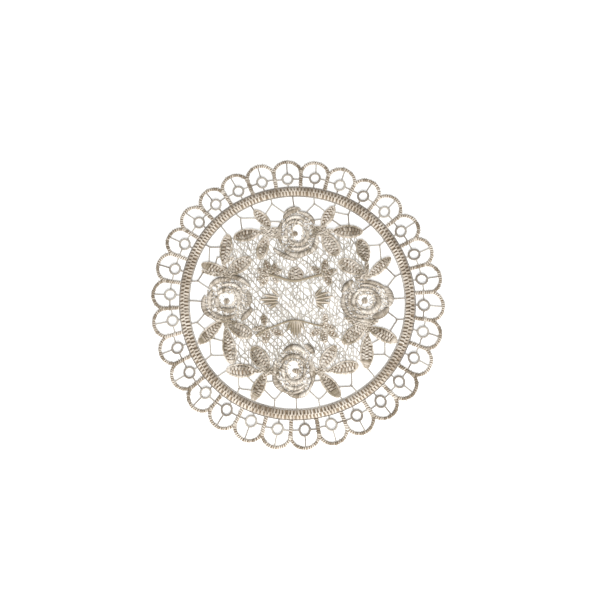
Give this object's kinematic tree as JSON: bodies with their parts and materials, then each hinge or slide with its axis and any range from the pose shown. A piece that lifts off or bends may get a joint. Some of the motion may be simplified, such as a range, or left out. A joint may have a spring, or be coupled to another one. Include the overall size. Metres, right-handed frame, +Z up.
{
  "type": "lace doily",
  "caption": "Round lace doily lying flat, with a scalloped edge, a stitched band, roses, leaves and an open net, put under an ornament, a plate or a vase to dress a surface.",
  "frame": {"origin": "middle of the flat underside, at the centre of the round outline", "axes": "+Z up from the surface it lies on, +Y towards the top of the pattern, +X to the pattern's right"},
  "size_m": [0.1999, 0.1984, 0.0023],
  "materials": {
    "lace_thread": "satin thread, beige"
  },
  "bodies": {
    "root": {"doily": "lace_thread"}
  },
  "joints": []
}
